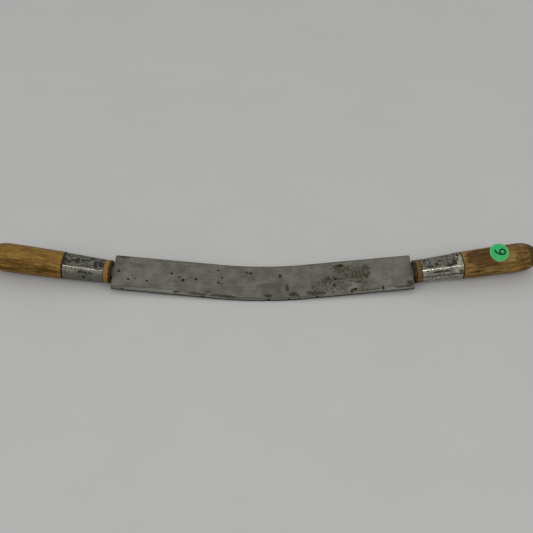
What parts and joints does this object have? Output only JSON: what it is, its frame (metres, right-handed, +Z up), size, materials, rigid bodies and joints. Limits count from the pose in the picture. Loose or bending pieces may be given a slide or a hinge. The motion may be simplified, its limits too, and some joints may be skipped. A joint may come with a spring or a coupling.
{
  "type": "fleshing knife",
  "caption": "Two-handled fleshing knife: a flat steel blade bent in its plane, a tang in a turned wooden handle with a sheet steel ferrule at each end, for scraping hides.",
  "frame": {"origin": "on the table under the middle of the knife as it lies on both handles and on the middle of its edge", "axes": "+X along the knife towards the handle with the sticker, +Y from the edge towards the spine, +Z up"},
  "size_m": [0.5258, 0.0602, 0.0327],
  "materials": {
    "blade_steel": "worn dull grey with rust pits",
    "left_wood": "worn ochre, bare",
    "right_wood": "worn brown, bare",
    "ferrule_steel": "scratched, spotted with dark stains",
    "brad_steel": "rusted",
    "sticker_paper": "satin"
  },
  "bodies": {
    "root": {"blade": "blade_steel", "left_handle": "left_wood", "right_handle": "right_wood", "left_ferrule": "ferrule_steel", "right_ferrule": "ferrule_steel", "left_ferrule_brad": "brad_steel", "right_ferrule_brad": "brad_steel", "lot_sticker": "sticker_paper"}
  },
  "joints": []
}
